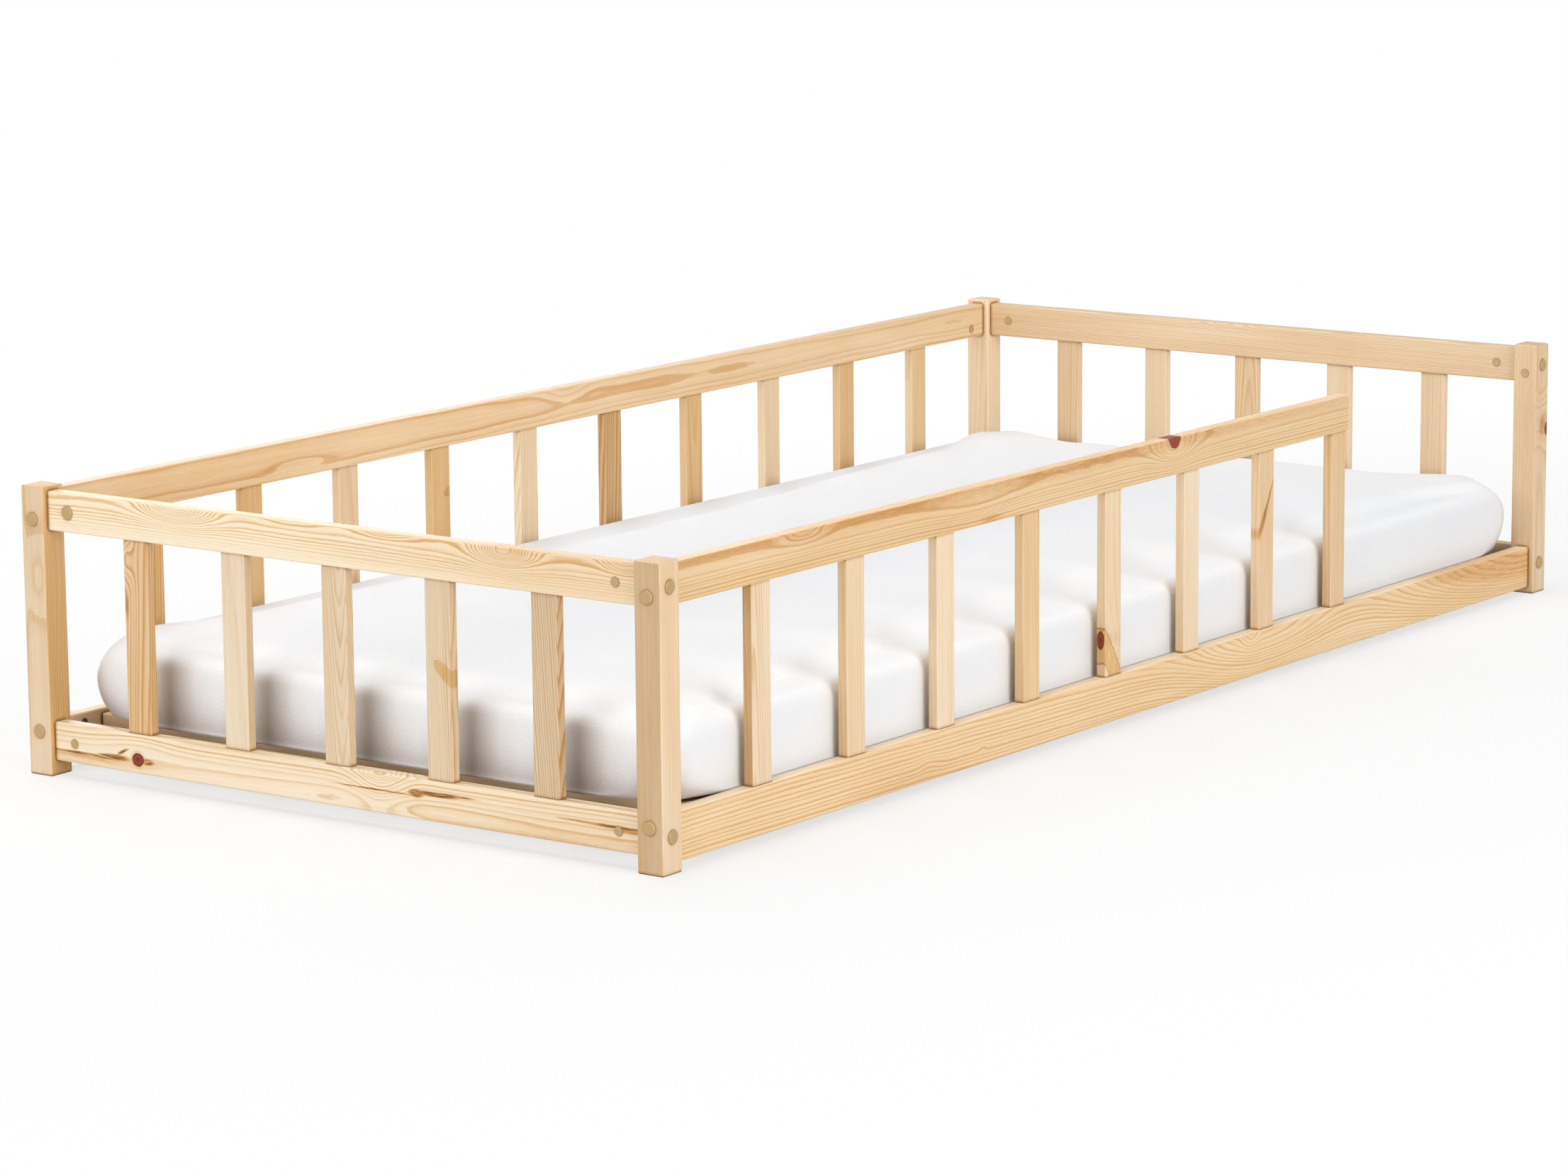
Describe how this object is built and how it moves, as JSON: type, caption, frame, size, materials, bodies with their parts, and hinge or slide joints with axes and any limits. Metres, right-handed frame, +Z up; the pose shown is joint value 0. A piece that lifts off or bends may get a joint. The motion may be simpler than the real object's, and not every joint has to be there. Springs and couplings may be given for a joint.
{
  "type": "kids bed",
  "caption": "Low pine floor bed for a child: slatted guard rails on every side, an entry gap at the front, a slatted base, and a mattress in a fitted sheet.",
  "frame": {"origin": "on the floor, under the middle of the bed", "axes": "+X along the bed's length, with the entry gap near its +X end; -Y is the front, the long side with the entry gap; +Z up"},
  "size_m": [2.091, 0.971, 0.356],
  "materials": {
    "pine": "satin",
    "cap_plastic": "satin",
    "zinc_steel": "satin",
    "webbing": "matte",
    "foam": "matte",
    "sheet_cotton": "matte"
  },
  "bodies": {
    "bed_frame": {"back_bearer": "pine", "back_bottom_rail": "pine", "back_slat_1": "pine", "back_slat_10": "pine", "back_slat_2": "pine", "back_slat_3": "pine", "back_slat_4": "pine", "back_slat_5": "pine", "back_slat_6": "pine", "back_slat_7": "pine", "back_slat_8": "pine", "back_slat_9": "pine", "back_top_rail": "pine", "barrel_nuts": "zinc_steel", "base_slat_1": "pine", "base_slat_10": "pine", "base_slat_2": "pine", "base_slat_3": "pine", "base_slat_4": "pine", "base_slat_5": "pine", "base_slat_6": "pine", "base_slat_7": "pine", "base_slat_8": "pine", "base_slat_9": "pine", "base_straps": "webbing", "connector_bolts": "zinc_steel", "cover_caps": "cap_plastic", "front_bearer": "pine", "front_bottom_rail": "pine", "front_slat_1": "pine", "front_slat_2": "pine", "front_slat_3": "pine", "front_slat_4": "pine", "front_slat_5": "pine", "front_slat_6": "pine", "front_slat_7": "pine", "front_slat_8": "pine", "front_top_rail": "pine", "left_bottom_rail": "pine", "left_slat_1": "pine", "left_slat_2": "pine", "left_slat_3": "pine", "left_slat_4": "pine", "left_slat_5": "pine", "left_top_rail": "pine", "nut_plugs": "cap_plastic", "post_back_left": "pine", "post_back_right": "pine", "post_front_left": "pine", "post_front_right": "pine", "right_bottom_rail": "pine", "right_slat_1": "pine", "right_slat_2": "pine", "right_slat_3": "pine", "right_slat_4": "pine", "right_slat_5": "pine", "right_top_rail": "pine", "wood_screws": "zinc_steel"},
    "bedding": {"mattress": "foam", "fitted_sheet": "sheet_cotton"}
  },
  "joints": [
    {"name": "mattress_lift", "type": "slide", "parent": "bed_frame", "child": "bedding", "axis": [0, 0, 1], "range_m": [0, 0.32]}
  ]
}
